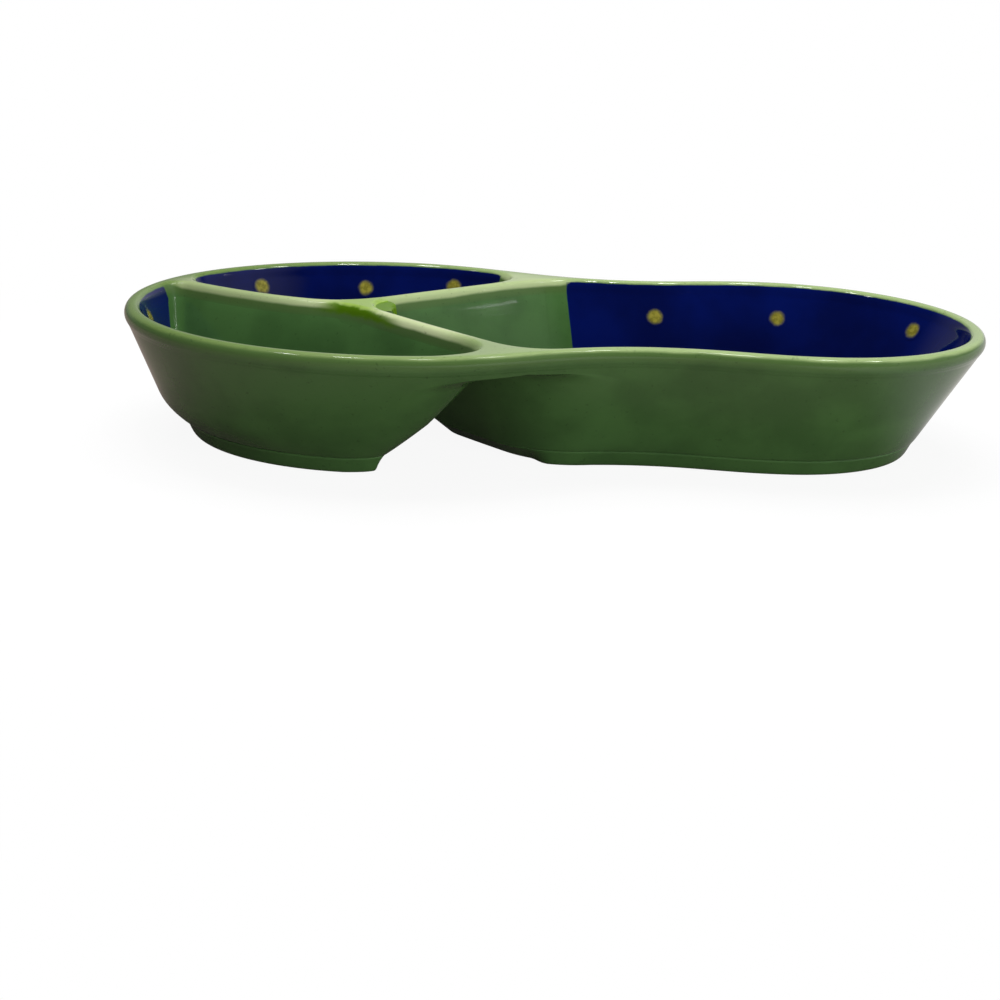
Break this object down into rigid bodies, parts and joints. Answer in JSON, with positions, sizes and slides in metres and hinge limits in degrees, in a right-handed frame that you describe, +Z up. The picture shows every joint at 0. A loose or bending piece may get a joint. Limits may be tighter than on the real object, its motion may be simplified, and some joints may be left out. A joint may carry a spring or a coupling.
{
  "type": "divided serving dish",
  "caption": "Peanut-shaped glazed stoneware serving dish, divided into tubs by a curved Y-shaped fold, with a rounded rim, blue dotted lining and a foot ring under each tub",
  "frame": {"origin": "On the table plane, under the middle of the dish's bounding box", "axes": "+X runs along the dish to the end of the long tub, +Y to the back, +Z up"},
  "size_m": [0.356, 0.185, 0.0548],
  "materials": {
    "green_glaze": "gloss",
    "blue_glaze": "gloss",
    "yellow_glaze": "gloss",
    "lime_glaze": "gloss"
  },
  "bodies": {
    "root": {"rim_and_dividers": "green_glaze", "hub_glaze": "lime_glaze", "front_tub": "green_glaze", "front_foot_ring": "green_glaze", "front_blue_glaze": "blue_glaze", "front_dot_1": "yellow_glaze", "front_dot_2": "yellow_glaze", "front_dot_3": "yellow_glaze", "front_dot_4": "yellow_glaze", "long_tub": "green_glaze", "long_foot_ring": "green_glaze", "long_blue_glaze": "blue_glaze", "long_dot_1": "yellow_glaze", "long_dot_2": "yellow_glaze", "long_dot_3": "yellow_glaze", "long_dot_4": "yellow_glaze", "long_dot_5": "yellow_glaze", "long_dot_6": "yellow_glaze", "back_tub": "green_glaze", "back_foot_ring": "green_glaze", "back_blue_glaze": "blue_glaze", "back_dot_1": "yellow_glaze", "back_dot_2": "yellow_glaze", "back_dot_3": "yellow_glaze"}
  },
  "joints": []
}
